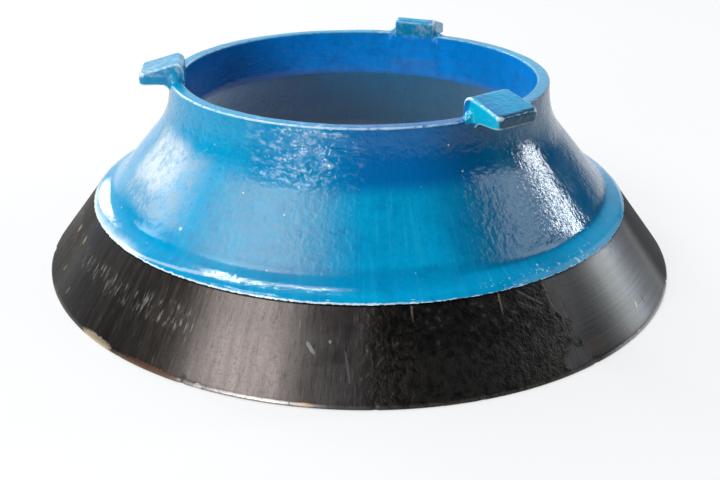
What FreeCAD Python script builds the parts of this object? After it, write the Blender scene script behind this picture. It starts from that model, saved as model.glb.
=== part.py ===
"""The concave of a cone crusher: one ring casting with a thin round neck, a flared
flank, a rounded lip, a machined seat cone and three lugs that stand on the rim.

The ring's axis is Z. The origin is the centre of the flat bottom ring. Lengths are in
millimetres and angles in degrees.
"""
import FreeCAD, Part
import math
import os

import Sketcher

NODE = "concave"

# Driving dimensions: name, value, meaning.
SIZES = [
    ("seat_radius", 620, "seat cone at its lower edge, the largest radius"),
    ("seat_top_radius", 524, "seat cone at its top"),
    ("seat_top_height", 126, "height of the seat cone's top"),
    ("seat_step", 1.5, "casting skin left proud of the machined seat"),
    ("edge_land", 4, "top of the upright land below the seat cone"),
    ("edge_chamfer", 1.5, "chamfer under the land"),
    ("bottom_width", 75, "flat bottom ring, from the largest radius inwards"),
    ("mouth_round", 8, "round inside the bottom ring"),
    ("knee_radius", 445, "crushing surface where its slope changes"),
    ("knee_height", 110, "height of that change of slope"),
    ("knee_blend", 120, "blend at that change"),
    ("throat_round", 40, "blend between the crushing surface and the bore"),
    ("bore_radius", 340, "inside radius of the neck"),
    ("bore_length", 92.5, "upright bore, from the rim down to the throat"),
    ("rim_height", 354.5, "top of the rim"),
    ("rim_wall", 23, "wall at the rim"),
    ("rim_round", 4, "rounds on both edges of the rim"),
    ("neck_length", 72.5, "neck, from the rim down to where the flank starts"),
    ("neck_foot_wall", 31, "wall of the neck at its foot"),
    ("neck_blend", 148, "sweep from the neck to the flank"),
    ("shelf_width", 30, "shelf between the flank and the lip"),
    ("shelf_rise", 13.5, "inner side of the shelf above its outer side"),
    ("shelf_blend", 56, "hollow between the flank and the shelf"),
    ("lip_inset", 7, "lip's corner inside the top of the seat"),
    ("lip_rise", 7.5, "lip's corner above the top of the seat"),
    ("lip_round", 18, "round of the lip above the seat"),
    ("lug_count", 3, "hanging lugs"),
    ("lug_start_angle", 68.4, "direction of the first lug"),
    ("lug_width", 92, "across the lug"),
    ("lug_crest_rise", 37.5, "top of the lug's inner face above the rim"),
    ("lug_reach", 54, "outer end of the lug beyond the rim"),
    ("lug_thickness", 21, "lug at its outer end"),
    ("lug_underside_drop", 6, "flat underside of the lug below the rim"),
    ("lug_root_wall", 12, "where the lug's foot is buried in the neck, outside the bore"),
    ("lug_root_drop", 34.5, "lower end of that foot below the rim"),
    ("lug_gusset", 9, "gusset between the underside and the neck"),
    ("lug_crest_round", 14, "round of the inner top edge"),
    ("lug_corner_round", 9, "upright rounds at the outer end"),
    ("lug_edge_round", 5, "round along the sides and the outer end"),
    ("flat_width", 112, "flat on the bore below each lug"),
    ("flat_inset", 6.5, "that flat and the lug's inner face, inside the bore"),
    ("flat_drop", 6, "top of that flat below the rim"),
    ("flat_length", 63.5, "height of that flat"),
]

doc = FreeCAD.newDocument("cone_crusher_concave")

sheet = doc.addObject("Spreadsheet::Sheet", "sizes")
for row, (name, value, meaning) in enumerate(SIZES, start=1):
    sheet.set("A%d" % row, name)
    sheet.set("B%d" % row, str(value))
    sheet.set("C%d" % row, meaning)
    sheet.setAlias("B%d" % row, name)
doc.recompute()


def size(name):
    """The number in the cell with this name."""
    return float(sheet.get(name))


def total(*names):
    """Sum of cells, as an expression and as a number. A leading minus subtracts."""
    text = ""
    number = 0.0
    for name in names:
        sign = "-" if name.startswith("-") else "+"
        cell = name.lstrip("-")
        text += " %s sizes.%s" % (sign, cell)
        number += size(cell) if sign == "+" else -size(cell)
    return text.lstrip(" +"), number


def origin_item(body, role):
    """One of the body's own origin planes or axes."""
    return next(f for f in body.Origin.OriginFeatures if f.Role == role)


def corner_arc(before, corner, after, radius):
    """The arc that rounds a corner: its centre, and where it meets each side."""
    back = (before - corner).normalize()
    ahead = (after - corner).normalize()
    half = back.getAngle(ahead) / 2
    reach = radius / math.tan(half)
    centre = corner + (back + ahead).normalize() * (radius / math.sin(half))
    return centre, corner + back * reach, corner + ahead * reach


def tie_point(sketch, geometry, point, across, up):
    """Hold a point of the sketch at sizes of the sheet. No height is the bottom plane."""
    tie = sketch.addConstraint(Sketcher.Constraint("DistanceX", -1, 1, geometry, point, across[1]))
    sketch.setExpression("Constraints[%d]" % tie, across[0])
    if up is None:
        sketch.addConstraint(Sketcher.Constraint("PointOnObject", geometry, point, -1))
        return
    tie = sketch.addConstraint(Sketcher.Constraint("DistanceY", -1, 1, geometry, point, up[1]))
    sketch.setExpression("Constraints[%d]" % tie, up[0])


def outline(body, name, corners):
    """A closed outline in the upright XZ plane, each corner and round tied to the sizes.

    A corner is (distance from the axis, height, name of its round or None), where the
    first two are as total() gives them and a height of None lies on the bottom plane.
    """
    sketch = body.newObject("Sketcher::SketchObject", name)
    sketch.AttachmentSupport = [(origin_item(body, "XZ_Plane"), "")]
    sketch.MapMode = "FlatFace"
    count = len(corners)
    places = [FreeCAD.Vector(across[1], 0 if up is None else up[1], 0) for across, up, _ in corners]
    arcs = {}
    enters = list(places)
    leaves = list(places)
    for i, (_, _, rounding) in enumerate(corners):
        if rounding:
            before, after = places[i - 1], places[(i + 1) % count]
            centre, enters[i], leaves[i] = corner_arc(before, places[i], after, size(rounding))
            arcs[i] = centre
    for i in range(count):
        sketch.addGeometry(Part.LineSegment(leaves[i], enters[(i + 1) % count]), False)

    for i, (across, up, rounding) in enumerate(corners):
        before = (i - 1) % count
        if not rounding:
            sketch.addConstraint(Sketcher.Constraint("Coincident", before, 2, i, 1))
            tie_point(sketch, i, 1, across, up)
            continue
        from_centre = enters[i] - arcs[i]
        to_centre = leaves[i] - arcs[i]
        first, last = enters[i], leaves[i]
        turns_left = from_centre.cross(to_centre).z > 0
        if not turns_left:
            first, last = last, first
        angles = [math.atan2(p.y - arcs[i].y, p.x - arcs[i].x) for p in (first, last)]
        circle = Part.Circle(arcs[i], FreeCAD.Vector(0, 0, 1), size(rounding))
        arc = sketch.addGeometry(Part.ArcOfCircle(circle, *angles), False)
        corner = sketch.addGeometry(Part.Point(places[i]), True)
        sketch.addConstraint(Sketcher.Constraint("Tangent", before, 2, arc, 1 if turns_left else 2))
        sketch.addConstraint(Sketcher.Constraint("Tangent", i, 1, arc, 2 if turns_left else 1))
        sketch.addConstraint(Sketcher.Constraint("PointOnObject", corner, 1, before))
        sketch.addConstraint(Sketcher.Constraint("PointOnObject", corner, 1, i))
        tie_point(sketch, corner, 1, across, up)
        radius = sketch.addConstraint(Sketcher.Constraint("Radius", arc, size(rounding)))
        sketch.setExpression("Constraints[%d]" % radius, "sizes." + rounding)
    doc.recompute()
    return sketch


def edges_near(shape, points):
    """Names of the edges whose middle lies nearest to each of the points."""
    middles = []
    for i, edge in enumerate(shape.Edges, start=1):
        middle = edge.valueAt((edge.FirstParameter + edge.LastParameter) / 2)
        middles.append((middle, "Edge%d" % i))
    return [min(middles, key=lambda m: m[0].distanceToPoint(FreeCAD.Vector(*p)))[1] for p in points]


def make_ring(body):
    """The ring: its rounded section turned about Z."""
    shelf_inner = total("seat_top_radius", "-lip_inset", "-shelf_width")
    shelf_top = total("seat_top_height", "lip_rise", "shelf_rise")
    section = outline(body, "ring_section", [
        (total("bore_radius"), total("rim_height"), "rim_round"),
        (total("bore_radius", "rim_wall"), total("rim_height"), "rim_round"),
        (total("bore_radius", "neck_foot_wall"), total("rim_height", "-neck_length"), "neck_blend"),
        (shelf_inner, shelf_top, "shelf_blend"),
        (total("seat_top_radius", "-lip_inset"), total("seat_top_height", "lip_rise"), "lip_round"),
        (total("seat_top_radius", "seat_step"), total("seat_top_height"), None),
        (total("seat_top_radius"), total("seat_top_height"), None),
        (total("seat_radius"), total("edge_land"), None),
        (total("seat_radius"), total("edge_chamfer"), None),
        (total("seat_radius", "-edge_chamfer"), None, None),
        (total("seat_radius", "-bottom_width"), None, "mouth_round"),
        (total("knee_radius"), total("knee_height"), "knee_blend"),
        (total("bore_radius"), total("rim_height", "-bore_length"), "throat_round"),
    ])
    ring = body.newObject("PartDesign::Revolution", "ring")
    ring.Profile = section
    ring.ReferenceAxis = (section, ["V_Axis"])
    ring.Angle = 360
    section.Visibility = False
    doc.recompute()


def block(body, name, corners, width):
    """A block across the XZ plane: an outline padded evenly to both sides."""
    sketch = outline(body, name + "_side", corners)
    padded = body.newObject("PartDesign::Pad", name)
    padded.Profile = sketch
    padded.Midplane = True
    padded.setExpression("Length", "sizes." + width)
    sketch.Visibility = False
    doc.recompute()
    return padded


def fillet(body, name, before, edges, radius):
    """A round on edges of the feature before."""
    rounded = body.newObject("PartDesign::Fillet", name)
    rounded.Base = (before, edges)
    rounded.setExpression("Radius", "sizes." + radius)
    doc.recompute()
    return rounded


def make_lugs(body):
    """One lug with its rounded edges and the flat below it, then the rest round the axis."""
    face = total("bore_radius", "-flat_inset")
    crest = total("rim_height", "lug_crest_rise")
    tip = total("bore_radius", "rim_wall", "lug_reach")
    tip_top = total("rim_height", "-lug_underside_drop", "lug_thickness")
    underside = total("rim_height", "-lug_underside_drop")
    root = total("bore_radius", "lug_root_wall")
    root_foot = total("rim_height", "-lug_root_drop")
    lug = block(body, "lug", [
        (face, root_foot, None),
        (face, crest, "lug_crest_round"),
        (tip, tip_top, None),
        (tip, underside, None),
        (total("bore_radius", "rim_wall", "lug_gusset"), underside, None),
        (total("bore_radius", "rim_wall"), total("rim_height", "-lug_underside_drop", "-lug_gusset"), None),
        (root, root_foot, None),
    ], "lug_width")
    half = size("lug_width") / 2
    end_middle = (tip_top[1] + underside[1]) / 2
    upright = edges_near(lug.Shape, [(tip[1], y, end_middle) for y in (-half, half)])
    corners = fillet(body, "lug_corners", lug, upright, "lug_corner_round")
    # The round runs on along every edge that is smooth with the outer end's top edge.
    end_top = edges_near(corners.Shape, [(tip[1], 0, tip_top[1])])
    fillet(body, "lug_edges", corners, end_top, "lug_edge_round")
    flat_top = total("rim_height", "-flat_drop")
    flat_foot = total("rim_height", "-flat_drop", "-flat_length")
    block(body, "bore_flat", [
        (face, flat_foot, None),
        (face, flat_top, None),
        (root, flat_top, None),
        (root, flat_foot, None),
    ], "flat_width")
    lugs = body.newObject("PartDesign::PolarPattern", "lugs")
    lugs.TransformMode = "Whole shape"
    lugs.Axis = (origin_item(body, "Z_Axis"), [""])
    lugs.Angle = 360
    lugs.setExpression("Occurrences", "sizes.lug_count")
    body.Tip = lugs
    doc.recompute()


def check(body):
    """Stop before anything is written if the model isn't whole."""
    failed = [o.Name for o in doc.Objects if "Invalid" in o.State or "Error" in o.State]
    if failed:
        raise RuntimeError("failed features: " + ", ".join(failed))
    shape = body.Shape
    if shape.isNull() or not shape.isValid() or len(shape.Solids) != 1:
        raise RuntimeError("the casting isn't one valid solid")


body = doc.addObject("PartDesign::Body", "concave_body")
body.Label = NODE
# The lugs are apart from each other until the ring joins them.
body.AllowCompound = True
make_lugs(body)
make_ring(body)
body.Placement.Rotation.Axis = FreeCAD.Vector(0, 0, 1)
body.setExpression("Placement.Rotation.Angle", "sizes.lug_start_angle")
doc.recompute()
check(body)

os.makedirs("parts", exist_ok=True)
body.Shape.exportStep("parts/%s.step" % body.Label)
volume = body.Shape.Volume
print("%s: %.0f mm3, %d faces, outline %s" % (body.Label, volume, len(body.Shape.Faces), body.Shape.BoundBox))
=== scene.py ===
"""Looks of the cone crusher concave: the cast and painted skin, the bare seat, the studio.

All lengths are in metres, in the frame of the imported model.
"""
import math
from types import SimpleNamespace

import bmesh
import bpy
from mathutils import Matrix, Quaternion, Vector, noise


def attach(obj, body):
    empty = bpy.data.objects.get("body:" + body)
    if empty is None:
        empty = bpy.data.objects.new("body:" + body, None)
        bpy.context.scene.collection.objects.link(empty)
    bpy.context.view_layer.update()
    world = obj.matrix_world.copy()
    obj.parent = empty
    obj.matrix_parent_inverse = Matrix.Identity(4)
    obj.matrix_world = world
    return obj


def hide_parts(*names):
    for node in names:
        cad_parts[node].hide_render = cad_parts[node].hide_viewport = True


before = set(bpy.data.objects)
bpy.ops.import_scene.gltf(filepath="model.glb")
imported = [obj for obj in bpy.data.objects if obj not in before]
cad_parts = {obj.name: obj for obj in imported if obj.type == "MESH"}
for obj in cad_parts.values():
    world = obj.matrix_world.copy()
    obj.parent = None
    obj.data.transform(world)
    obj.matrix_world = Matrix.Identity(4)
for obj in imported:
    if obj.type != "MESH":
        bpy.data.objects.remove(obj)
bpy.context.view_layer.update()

# Sizes of the casting.
SEAT_RADIUS = 0.62
# The skin reaches no further out than this.
SEAT_LIMIT = 0.61985
SEAT_TOP_RADIUS = 0.524
SEAT_TOP = 0.126
SEAT_STEP = 0.0015
# Length along the seat for each unit of height.
SEAT_SLANT = 1.275
EDGE_LAND = 0.004
EDGE_CHAMFER = 0.0015
MOUTH_RADIUS = 0.545
KNEE_RADIUS, KNEE_HEIGHT = 0.445, 0.11
BORE_RADIUS = 0.34
THROAT_HEIGHT = 0.262
RIM_RADIUS = 0.363
RIM_TOP = 0.3545
NECK_FOOT_RADIUS, NECK_FOOT_HEIGHT = 0.371, 0.282
SHELF_RADIUS, SHELF_HEIGHT = 0.487, 0.147
LIP_RADIUS, LIP_HEIGHT = 0.517, 0.1335
LUG_COUNT = 3
LUG_START = math.radians(68.4)
LUG_WIDTH = 0.092
LUG_CREST = 0.392
LUG_CREST_ROUND = 0.014
LUG_TIP_RADIUS = 0.417
LUG_TIP_TOP = 0.3695
LUG_UNDERSIDE = 0.3485
LUG_GUSSET = 0.009
LUG_ROOT = 0.352
LUG_ROOT_FOOT = 0.32
LUG_CORNER_ROUND = 0.009
LUG_EDGE_ROUND = 0.005
FLAT_RADIUS = 0.3335
FLAT_HALF_ANGLE = 0.168
FLAT_TOP = 0.3485
FLAT_FOOT = 0.285
# How far the soft edges of the flats reach before and past their sides, top and foot.
FLAT_SIDE_EDGE = (-0.004, 0.008)
FLAT_TOP_EDGE = (-0.0015, 0.001)
FLAT_FOOT_EDGE = (-0.012, 0.016)

# Points round the axis in a plain row, and how many times more in a fine row.
ROUND_COUNT = 384
FINE = 3
LIP_EDGE, LOWER_EDGE = Vector((SEAT_TOP_RADIUS, SEAT_TOP)), Vector((SEAT_RADIUS, EDGE_LAND))
# Rows nearer than this to the two edges are fine.
FINE_BY_LIP, FINE_BY_FOOT = 0.007, 0.009

# Lumps that the sand mould left: height, size and shift of the noise.
RING_LUMPS = [
    (0.0006, 0.085, (0, 0, 0)),
    (0.00035, 0.034, (7, 3, 1)),
    (0.00012, 0.014, (2, 9, 4)),
]
LUG_LUMPS = [(0.0007, 0.03, (0, 0, 0)), (0.00025, 0.009, (0, 0, 0))]
# Share of the lumps on machined stretches and by the lip's edge, and where they grow full.
MACHINED_ZONES = ("seat", "ledge", "land", "bottom")
MACHINED_SHARE, LIP_SHARE = 0.04, 0.12
LIP_SHARE_NEAR, LIP_SHARE_FAR = 0.015, 0.07
# Wear of the lip's edge: its reach upwards, its waves, and its chips' size and rarity.
LIP_WEAR = 0.004
LIP_WAVE, LIP_WAVE_SIZE = 0.0011, 0.012
LIP_CHIP = (0.016, 0.35)
LIP_CHIP_RISE, LIP_CHIP_DEPTH = 0.0022, 0.0008
LIP_LOWEST = -0.0004
CHIP_SHIFT, CHIP_FADE = Vector((11, 5, 8)), 0.2
# Wear of the lower edge: its reach up and in, where it is full, its way inwards and down, and
# size, rarity and depth of its chips.
FOOT_WEAR, FOOT_WEAR_WIDTH, FOOT_WEAR_GROWTH = 0.008, 0.012, 0.005
FOOT_WEAR_IN, FOOT_WEAR_DOWN = 0.8, 0.3
FOOT_CHIPS = [(0.02, 0.42, 0.0022), (0.007, 0.4, 0.0007)]
# How far a full edge stands out from its neighbours.
FULL_EDGE = 0.16
SHARP_ANGLE = math.radians(38)


def arc_points(before, corner, after, radius, spacing):
    """Points of the arc that rounds a corner of an outline."""
    back = (before - corner).normalized()
    ahead = (after - corner).normalized()
    half = back.angle(ahead) / 2
    centre = corner + (back + ahead).normalized() * (radius / math.sin(half))
    start = corner + back * (radius / math.tan(half)) - centre
    turn = start.angle_signed(corner + ahead * (radius / math.tan(half)) - centre)
    steps = max(2, math.ceil(abs(turn) * radius / spacing))
    points = []
    for k in range(steps + 1):
        spin = Matrix.Rotation(-turn * k / steps, 2)
        points.append(centre + spin @ start)
    return points


def outline_rows(corners):
    """Rows (place, zone) of a closed outline.

    A corner is (across, up, radius of its round, spacing on the round, zone and spacing
    of the stretch that follows it).
    """
    rows = []
    count = len(corners)
    ends = []
    for i, (across, up, radius, spacing, _, _) in enumerate(corners):
        corner = Vector((across, up))
        before = Vector(corners[i - 1][:2])
        after = Vector(corners[(i + 1) % count][:2])
        ends.append(arc_points(before, corner, after, radius, spacing) if radius else [corner])
    for i, (_, _, _, _, zone, spacing) in enumerate(corners):
        rows += [(point, zone) for point in ends[i]]
        start, end = ends[i][-1], ends[(i + 1) % count][0]
        steps = max(1, round((end - start).length / spacing))
        rows += [(start.lerp(end, k / steps), zone) for k in range(1, steps)]
    return rows


RING_CORNERS = [
    (BORE_RADIUS, RIM_TOP, 0.004, 0.0013, "rim", 0.004),
    (RIM_RADIUS, RIM_TOP, 0.004, 0.0013, "neck", 0.007),
    (NECK_FOOT_RADIUS, NECK_FOOT_HEIGHT, 0.148, 0.007, "flank", 0.007),
    (SHELF_RADIUS, SHELF_HEIGHT, 0.056, 0.005, "shelf", 0.004),
    (LIP_RADIUS, LIP_HEIGHT, 0.018, 0.0022, "lip", 0.0015),
    (SEAT_TOP_RADIUS + SEAT_STEP, SEAT_TOP, 0, 0, "ledge", 0.002),
    (SEAT_TOP_RADIUS, SEAT_TOP, 0, 0, "seat", 0.007),
    (SEAT_RADIUS, EDGE_LAND, 0, 0, "land", 0.0015),
    (SEAT_RADIUS, EDGE_CHAMFER, 0, 0, "land", 0.002),
    (SEAT_RADIUS - EDGE_CHAMFER, 0, 0, 0, "bottom", 0.018),
    (MOUTH_RADIUS, 0, 0.008, 0.003, "cone", 0.014),
    (KNEE_RADIUS, KNEE_HEIGHT, 0.12, 0.012, "cone", 0.013),
    (BORE_RADIUS, THROAT_HEIGHT, 0.04, 0.006, "bore", 0.0075),
]


def smooth_step(value, low, high):
    """0 below low, 1 above high, smooth between them."""
    share = min(1.0, max(0.0, (value - low) / (high - low)))
    return share * share * (3 - 2 * share)


def soft_step(value, place, edge):
    """0 before a place and 1 past it. The edge says where the step starts and ends round it."""
    return smooth_step(value, place + edge[0], place + edge[1])


def cast_lumps(place, lumps):
    """How far the sand mould left the skin out or in at a place."""
    push = 0.0
    for height, size, shift in lumps:
        push += height * noise.noise(place / size + Vector(shift))
    return push


def row_normals(rows):
    """Outward direction of each row in the section's plane."""
    normals = []
    for i in range(len(rows)):
        along = rows[(i + 1) % len(rows)][0] - rows[i - 1][0]
        normals.append(Vector((-along.y, along.x)).normalized())
    return normals


def flat_depth(angle, height):
    """How far the flat below each lug stands in from the round bore."""
    pitch = 2 * math.pi / LUG_COUNT
    off = (angle - LUG_START + pitch / 2) % pitch - pitch / 2
    chord = max(0.0, BORE_RADIUS - FLAT_RADIUS / math.cos(off))
    side = 1 - soft_step(abs(off), FLAT_HALF_ANGLE, FLAT_SIDE_EDGE)
    top = 1 - soft_step(height, FLAT_TOP, FLAT_TOP_EDGE)
    foot = soft_step(height, FLAT_FOOT, FLAT_FOOT_EDGE)
    return chord * side * top * foot


def chip(place, size, rarity):
    """0 to 1 where a chip of about this size has broken out. Higher rarity leaves fewer."""
    return smooth_step(noise.noise(place / size + CHIP_SHIFT), rarity, rarity + CHIP_FADE)


def lump_share(point, zone):
    """How much of the cast lumps a stretch of the section keeps."""
    if zone in MACHINED_ZONES:
        return MACHINED_SHARE
    growth = smooth_step((LIP_EDGE - point).length, LIP_SHARE_NEAR, LIP_SHARE_FAR)
    return LIP_SHARE + (1 - LIP_SHARE) * growth


def wear_lip(place, out, up):
    """Raise the lip's edge in waves and chips, and draw it in at the chips."""
    lost = LIP_WAVE * noise.noise(place / LIP_WAVE_SIZE) + LIP_CHIP_RISE * chip(place, *LIP_CHIP)
    place.z += max(LIP_LOWEST, lost) * smooth_step(SEAT_TOP + LIP_WEAR - up, 0, LIP_WEAR)
    return place - out * (LIP_CHIP_DEPTH * chip(place, *LIP_CHIP))


def wear_foot(place, out, up):
    """Draw the lower edge in and down at its chips."""
    lost = sum(chip(place, size, rarity) * depth for size, rarity, depth in FOOT_CHIPS)
    way = out * FOOT_WEAR_IN + Vector((0, 0, FOOT_WEAR_DOWN))
    return place - way * lost * smooth_step(FOOT_WEAR - up, 0, FOOT_WEAR_GROWTH)


def skin_place(point, zone, normal, angle):
    """A vertex of the ring: the section's point turned about the axis, with its wear."""
    across, up = point
    out = Vector((math.cos(angle), math.sin(angle), 0))
    place = out * across + Vector((0, 0, up))
    push = out * normal.x + Vector((0, 0, normal.y))
    place += push * (cast_lumps(place, RING_LUMPS) * lump_share(point, zone))
    if zone in ("bore", "rim"):
        place -= out * flat_depth(angle, up)
    if zone in ("lip", "ledge") and up < SEAT_TOP + LIP_WEAR:
        place = wear_lip(place, out, up)
    if up < FOOT_WEAR and across > SEAT_RADIUS - FOOT_WEAR_WIDTH:
        place = wear_foot(place, out, up)
    place.z = max(0.0, place.z)
    reach = math.hypot(place.x, place.y)
    if reach > SEAT_LIMIT:
        place = Vector((place.x * SEAT_LIMIT / reach, place.y * SEAT_LIMIT / reach, place.z))
    return place


def is_fine(point):
    """Rows beside the lip's edge and the lower edge have more points."""
    by_lip = (point - LIP_EDGE).length < FINE_BY_LIP
    return by_lip or (point - LOWER_EDGE).length < FINE_BY_FOOT


def make_ring():
    """The ring as one closed mesh: rows of points round the axis, joined row to row."""
    rows = outline_rows(RING_CORNERS)
    normals = row_normals(rows)
    mesh = bmesh.new()
    rings = []
    for (point, zone), normal in zip(rows, normals):
        count = ROUND_COUNT * (FINE if is_fine(point) else 1)
        ring = []
        for k in range(count):
            angle = 2 * math.pi * k / count
            ring.append(mesh.verts.new(skin_place(point, zone, normal, angle)))
        rings.append(ring)
    for i, ring in enumerate(rings):
        join_rows(mesh, ring, rings[(i + 1) % len(rings)])
    return mesh


def join_rows(mesh, upper, lower):
    """Faces between two closed rows. One may have FINE times the points of the other."""
    if len(upper) == len(lower):
        for k in range(len(upper)):
            n = (k + 1) % len(upper)
            mesh.faces.new((upper[k], upper[n], lower[n], lower[k]))
        return
    coarse, dense, flip = (upper, lower, False) if len(upper) < len(lower) else (lower, upper, True)
    for k in range(len(coarse)):
        here, there = coarse[k], coarse[(k + 1) % len(coarse)]
        fan = [dense[(FINE * k + j) % len(dense)] for j in range(FINE + 1)]
        faces = [(here, fan[1], fan[0]), (here, there, fan[2], fan[1]), (there, fan[3], fan[2])]
        for face in faces:
            mesh.faces.new(tuple(reversed(face)) if flip else face)


def close_block(mesh, rings):
    """Faces along a row of rings and over both its ends."""
    for a, b in zip(rings, rings[1:]):
        join_rows(mesh, a, b)
    mesh.faces.new(list(reversed(rings[0])))
    mesh.faces.new(rings[-1])


def solid_object(name, mesh):
    """A mesh object from a bmesh, with its faces turned outwards."""
    bmesh.ops.recalc_face_normals(mesh, faces=mesh.faces)
    data = bpy.data.meshes.new(name)
    mesh.to_mesh(data)
    mesh.free()
    thing = bpy.data.objects.new(name, data)
    bpy.context.scene.collection.objects.link(thing)
    return thing


def bake(thing):
    """Apply the object's modifiers to its mesh."""
    graph = bpy.context.evaluated_depsgraph_get()
    data = bpy.data.meshes.new_from_object(thing.evaluated_get(graph))
    thing.modifiers.clear()
    old = thing.data
    thing.data = data
    bpy.data.meshes.remove(old)


# How far the rows of a lug's top and foot are drawn in, and the points round each.
LUG_INSETS = (0, 0.0004, 0.0012, 0.0025, 0.004, 0.006, 0.009, 0.013, 0.018, 0.025, 0.033, 0.0405)
LUG_PLAN_POINTS = 180
LEAST_ROUND = 0.0005
HAIR = 0.0001


def lug_top(across):
    """Height of the lug's top at a distance from the axis: the crest's round, then the slope."""
    fall = (LUG_CREST - LUG_TIP_TOP) / (LUG_TIP_RADIUS - FLAT_RADIUS)
    slope = LUG_CREST - fall * (across - FLAT_RADIUS)
    middle = FLAT_RADIUS + LUG_CREST_ROUND
    lean = math.sqrt(1 + fall * fall)
    centre = LUG_CREST - fall * LUG_CREST_ROUND - LUG_CREST_ROUND * lean
    touch = middle + LUG_CREST_ROUND * fall / lean
    if across >= touch:
        return slope
    return centre + math.sqrt(max(0.0, LUG_CREST_ROUND ** 2 - (across - middle) ** 2))


def lug_foot(across):
    """Height of the lug's lower side at a distance from the axis."""
    heel = RIM_RADIUS + LUG_GUSSET
    low = LUG_UNDERSIDE - LUG_GUSSET
    if across >= heel:
        return LUG_UNDERSIDE
    if across >= RIM_RADIUS:
        return low + across - RIM_RADIUS
    if across >= LUG_ROOT:
        return LUG_ROOT_FOOT + (low - LUG_ROOT_FOOT) * (across - LUG_ROOT) / (RIM_RADIUS - LUG_ROOT)
    return LUG_ROOT_FOOT


def lug_plan(inset):
    """Points round the lug seen from above, drawn in by an inset."""
    half = LUG_WIDTH / 2 - inset
    near, far = FLAT_RADIUS + inset, LUG_TIP_RADIUS - inset
    inner = max(LEAST_ROUND, LUG_EDGE_ROUND - inset)
    outer = max(LEAST_ROUND, LUG_CORNER_ROUND - inset)
    corners = [(near, -half, inner), (far, -half, outer), (far, half, outer), (near, half, inner)]
    path = []
    for i, (x, y, radius) in enumerate(corners):
        before, after = corners[i - 1], corners[(i + 1) % 4]
        path += arc_points(Vector(before[:2]), Vector((x, y)), Vector(after[:2]), radius, radius / 5)
    path.append(path[0])
    lengths = [0.0]
    for a, b in zip(path, path[1:]):
        lengths.append(lengths[-1] + (b - a).length)
    points = []
    k = 0
    for step in range(LUG_PLAN_POINTS):
        goal = lengths[-1] * step / LUG_PLAN_POINTS
        while lengths[k + 1] < goal:
            k += 1
        share = (goal - lengths[k]) / max(1e-9, lengths[k + 1] - lengths[k])
        points.append(path[k].lerp(path[k + 1], share))
    return points


def lug_block():
    """The lug without its beads, along +X."""
    mesh = bmesh.new()
    tops, feet = [], []
    for inset in LUG_INSETS:
        drop = LUG_EDGE_ROUND - min(inset, LUG_EDGE_ROUND)
        drop = LUG_EDGE_ROUND - math.sqrt(LUG_EDGE_ROUND ** 2 - drop ** 2)
        points = lug_plan(inset)
        top = []
        for p in points:
            by_face = p.x < FLAT_RADIUS + inset + HAIR and abs(p.y) < LUG_WIDTH / 2 - LUG_EDGE_ROUND
            top.append(mesh.verts.new((p.x, p.y, lug_top(p.x) - (0 if by_face else drop))))
        tops.append(top)
        feet.append([mesh.verts.new((p.x, p.y, lug_foot(p.x))) for p in points])
    rings = list(reversed(tops)) + feet
    for a, b in zip(rings, rings[1:]):
        join_rows(mesh, a, b)
    mesh.faces.new(rings[0])
    mesh.faces.new(list(reversed(rings[-1])))
    return mesh


# The lumpy bead along a lug's inner foot: radius, distance from the flat, steps along it and
# round it.
BEAD_RADIUS, BEAD_INSET = 0.0034, 0.002
BEAD_STEPS, BEAD_SIDES = 46, 10
BEAD_LUMP, COVE_LUMP, LUMP_SIZE = 0.35, 0.15, 0.012
# The hollow rounds where a lug's sides meet the rim: their reach, how deep they start in the
# rim and in the lug, how far from the bore, and how much shorter than the rim they are.
COVE = 0.023
COVE_SINK, COVE_BITE = 0.008, 0.005
COVE_START, COVE_SHORTER = 0.003, 0.008
COVE_ROWS, COVE_STEPS = 12, 8


def add_bead(mesh, path, seed):
    """A closed lumpy bead along a path."""
    rings = []
    for i, place in enumerate(path):
        along = (path[min(i + 1, len(path) - 1)] - path[max(i - 1, 0)]).normalized()
        side = along.orthogonal().normalized()
        other = along.cross(side)
        inward = min(1.0, min(i, len(path) - 1 - i) / (0.25 * len(path)))
        lump = noise.noise(place / LUMP_SIZE + Vector((seed, 0, 0)))
        size = BEAD_RADIUS * (0.6 + 0.4 * inward) * (1 + BEAD_LUMP * lump)
        turns = [2 * math.pi * k / BEAD_SIDES for k in range(BEAD_SIDES)]
        rings.append([mesh.verts.new(place + (side * math.cos(a) + other * math.sin(a)) * size)
                      for a in turns])
    close_block(mesh, rings)


def add_cove(mesh, side, seed):
    """The hollow round between one side of the lug and the rim's top, as a closed block."""
    rings = []
    for k in range(COVE_ROWS + 1):
        across = BORE_RADIUS + COVE_START + (RIM_RADIUS - BORE_RADIUS - COVE_SHORTER) * k / COVE_ROWS
        share = 0.72 + 0.28 * math.sin(math.pi * k / COVE_ROWS)
        lump = noise.noise(Vector((across / LUMP_SIZE, side * 3.0, seed)))
        reach = COVE * share * (1 + COVE_LUMP * lump)
        profile = [(-COVE_BITE, -COVE_SINK), (reach, -COVE_SINK)]
        for step in range(COVE_STEPS + 1):
            turn = math.pi / 2 * step / COVE_STEPS
            profile.append((reach * (1 - math.sin(turn)), reach * (1 - math.cos(turn))))
        profile.append((-COVE_BITE, reach))
        rings.append([mesh.verts.new((across, side * (LUG_WIDTH / 2 + off), RIM_TOP + up))
                      for off, up in profile])
    close_block(mesh, rings)


def add_beads(mesh, index):
    """The cast rounds and the bead where the lug stands on the rim."""
    for side in (-1, 1):
        add_cove(mesh, side, index * 2.3)
    start = Vector((FLAT_RADIUS + BEAD_INSET, -LUG_WIDTH / 2, FLAT_TOP))
    end = Vector((FLAT_RADIUS + BEAD_INSET, LUG_WIDTH / 2, FLAT_TOP))
    path = [start.lerp(end, k / BEAD_STEPS) for k in range(BEAD_STEPS)] + [end]
    add_bead(mesh, path, index * 5 + 3)


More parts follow.
